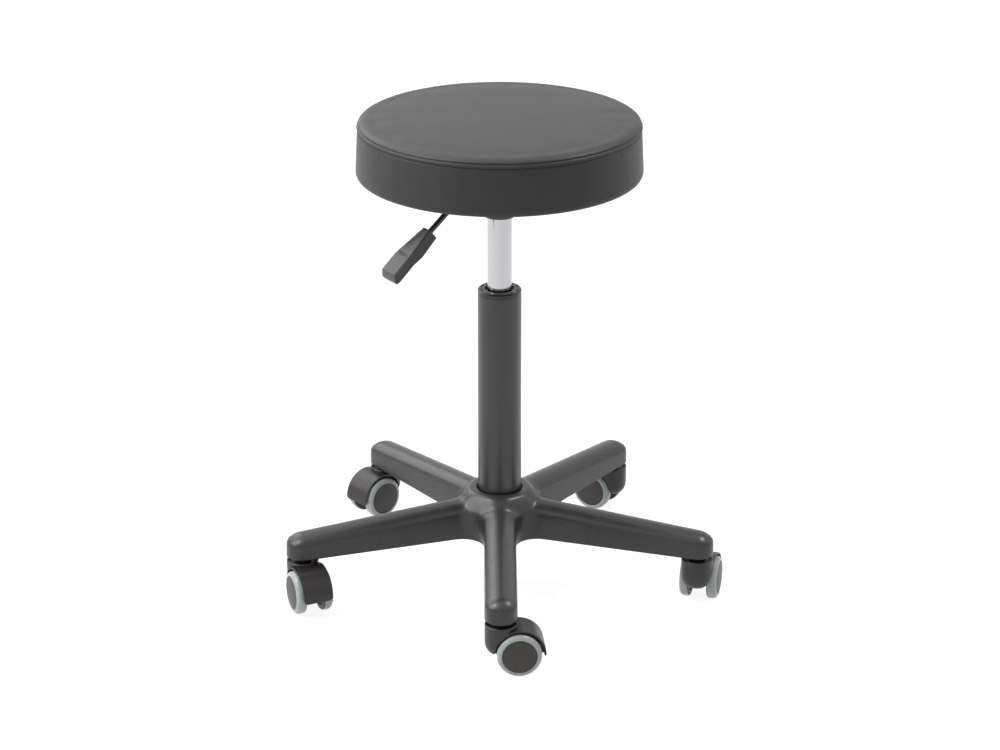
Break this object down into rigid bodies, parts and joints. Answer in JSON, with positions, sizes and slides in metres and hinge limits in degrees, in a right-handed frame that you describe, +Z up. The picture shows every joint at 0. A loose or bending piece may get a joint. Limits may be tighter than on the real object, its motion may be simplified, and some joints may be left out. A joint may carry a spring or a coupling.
{
  "type": "swivel stool",
  "caption": "Round padded stool on a gas lift with a height lever, a moulded star base and swivelling twin-wheel casters.",
  "frame": {"origin": "on the floor under the gas lift's axis, which is the centre of the star base", "axes": "+Z up along the gas lift, -Y along the front arm of the base, +X to the right of a person facing the front arm's side"},
  "size_m": [0.5084, 0.4964, 0.5639],
  "materials": {
    "nylon": "satin",
    "black_steel": "satin",
    "bush_plastic": "satin",
    "bearing_steel": "polished",
    "piston_metal": "satin",
    "buffer_rubber": "matte",
    "zinc_steel": "satin",
    "chrome": "polished",
    "plywood": "matte",
    "foam": "matte",
    "leatherette": "satin",
    "dust_cloth": "matte",
    "button_brass": "satin",
    "paddle_plastic": "satin",
    "hood_plastic": "satin",
    "disc_plastic": "satin",
    "tread": "satin"
  },
  "bodies": {
    "base": {"star_base": "nylon", "column_tube": "black_steel", "guide_bush": "bush_plastic", "thrust_bearing": "bearing_steel"},
    "spindle": {"piston_rod": "bearing_steel", "piston": "piston_metal", "rubber_buffer": "buffer_rubber", "bearing_race": "bearing_steel", "retaining_clip": "zinc_steel"},
    "seat_unit": {"gas_cylinder": "chrome", "cone_socket": "black_steel", "seat_plate": "black_steel", "seat_board": "plywood", "seat_foam": "foam", "seat_cover": "leatherette", "dust_cloth": "dust_cloth", "lever_pin": "zinc_steel", "seat_bolt_1": "zinc_steel", "seat_bolt_2": "zinc_steel", "seat_bolt_3": "zinc_steel", "seat_bolt_4": "zinc_steel"},
    "button": {"release_button": "button_brass"},
    "lever": {"lever_rod": "black_steel", "lever_paddle": "paddle_plastic"},
    "caster_front": {"front_hood": "hood_plastic", "front_stem": "zinc_steel", "front_axle": "zinc_steel"},
    "wheel_front_a": {"front_disc_a": "disc_plastic", "front_tyre_a": "tread"},
    "wheel_front_b": {"front_disc_b": "disc_plastic", "front_tyre_b": "tread"},
    "caster_right": {"right_hood": "hood_plastic", "right_stem": "zinc_steel", "right_axle": "zinc_steel"},
    "wheel_right_a": {"right_disc_a": "disc_plastic", "right_tyre_a": "tread"},
    "wheel_right_b": {"right_disc_b": "disc_plastic", "right_tyre_b": "tread"},
    "caster_right_rear": {"right_rear_hood": "hood_plastic", "right_rear_stem": "zinc_steel", "right_rear_axle": "zinc_steel"},
    "wheel_right_rear_a": {"right_rear_disc_a": "disc_plastic", "right_rear_tyre_a": "tread"},
    "wheel_right_rear_b": {"right_rear_disc_b": "disc_plastic", "right_rear_tyre_b": "tread"},
    "caster_left_rear": {"left_rear_hood": "hood_plastic", "left_rear_stem": "zinc_steel", "left_rear_axle": "zinc_steel"},
    "wheel_left_rear_a": {"left_rear_disc_a": "disc_plastic", "left_rear_tyre_a": "tread"},
    "wheel_left_rear_b": {"left_rear_disc_b": "disc_plastic", "left_rear_tyre_b": "tread"},
    "caster_left": {"left_hood": "hood_plastic", "left_stem": "zinc_steel", "left_axle": "zinc_steel"},
    "wheel_left_a": {"left_disc_a": "disc_plastic", "left_tyre_a": "tread"},
    "wheel_left_b": {"left_disc_b": "disc_plastic", "left_tyre_b": "tread"}
  },
  "joints": [
    {"name": "seat_swivel", "type": "hinge", "parent": "base", "child": "spindle", "pos_m": [0, 0, 0.3], "axis": [0, 0, 1], "continuous": true},
    {"name": "seat_height", "type": "slide", "parent": "spindle", "child": "seat_unit", "axis": [0, 0, 1], "range_m": [-0.085, 0.045]},
    {"name": "lever_lift", "type": "hinge", "parent": "seat_unit", "child": "lever", "pos_m": [-0.02487, -0.01678, 0.48655], "axis": [-0.5592, 0.829, 0], "range_deg": [0, 7], "stiffness_Nm_per_rad": 2, "springref_deg": -20.05},
    {"name": "button_press", "type": "slide", "parent": "seat_unit", "child": "button", "axis": [0, 0, -1], "range_m": [0, 0.0038]},
    {"name": "front_swivel", "type": "hinge", "parent": "base", "child": "caster_front", "pos_m": [0.00167, -0.23879, 0.07], "axis": [0, 0, 1], "continuous": true},
    {"name": "front_roll_a", "type": "hinge", "parent": "caster_front", "child": "wheel_front_a", "pos_m": [0.02079, -0.23712, 0.025], "axis": [-0.0872, 0.9962, 0], "continuous": true},
    {"name": "front_roll_b", "type": "hinge", "parent": "caster_front", "child": "wheel_front_b", "pos_m": [0.02079, -0.23712, 0.025], "axis": [-0.0872, 0.9962, 0], "continuous": true},
    {"name": "right_swivel", "type": "hinge", "parent": "base", "child": "caster_right", "pos_m": [0.22762, -0.07221, 0.07], "axis": [0, 0, 1], "continuous": true},
    {"name": "right_roll_a", "type": "hinge", "parent": "caster_right", "child": "wheel_right_a", "pos_m": [0.23387, -0.05405, 0.025], "axis": [-0.9455, 0.3256, 0], "continuous": true},
    {"name": "right_roll_b", "type": "hinge", "parent": "caster_right", "child": "wheel_right_b", "pos_m": [0.23387, -0.05405, 0.025], "axis": [-0.9455, 0.3256, 0], "continuous": true},
    {"name": "right_rear_swivel", "type": "hinge", "parent": "base", "child": "caster_right_rear", "pos_m": [0.13901, 0.19417, 0.07], "axis": [0, 0, 1], "continuous": true},
    {"name": "right_rear_roll_a", "type": "hinge", "parent": "caster_right_rear", "child": "wheel_right_rear_a", "pos_m": [0.12309, 0.20491, 0.025], "axis": [-0.5592, -0.829, 0], "continuous": true},
    {"name": "right_rear_roll_b", "type": "hinge", "parent": "caster_right_rear", "child": "wheel_right_rear_b", "pos_m": [0.12309, 0.20491, 0.025], "axis": [-0.5592, -0.829, 0], "continuous": true},
    {"name": "left_rear_swivel", "type": "hinge", "parent": "base", "child": "caster_left_rear", "pos_m": [-0.14171, 0.19221, 0.07], "axis": [0, 0, 1], "continuous": true},
    {"name": "left_rear_roll_a", "type": "hinge", "parent": "caster_left_rear", "child": "wheel_left_rear_a", "pos_m": [-0.15564, 0.17899, 0.025], "axis": [0.6884, -0.7254, 0], "continuous": true},
    {"name": "left_rear_roll_b", "type": "hinge", "parent": "caster_left_rear", "child": "wheel_left_rear_b", "pos_m": [-0.15564, 0.17899, 0.025], "axis": [0.6884, -0.7254, 0], "continuous": true},
    {"name": "left_swivel", "type": "hinge", "parent": "base", "child": "caster_left", "pos_m": [-0.22659, -0.07538, 0.07], "axis": [0, 0, 1], "continuous": true},
    {"name": "left_roll_a", "type": "hinge", "parent": "caster_left", "child": "wheel_left_a", "pos_m": [-0.21833, -0.09271, 0.025], "axis": [0.9026, 0.4305, 0], "continuous": true},
    {"name": "left_roll_b", "type": "hinge", "parent": "caster_left", "child": "wheel_left_b", "pos_m": [-0.21833, -0.09271, 0.025], "axis": [0.9026, 0.4305, 0], "continuous": true}
  ],
  "couplings": [
    {"joint": "button_press", "follows": "lever_lift", "m_per_rad": 0.03}
  ]
}
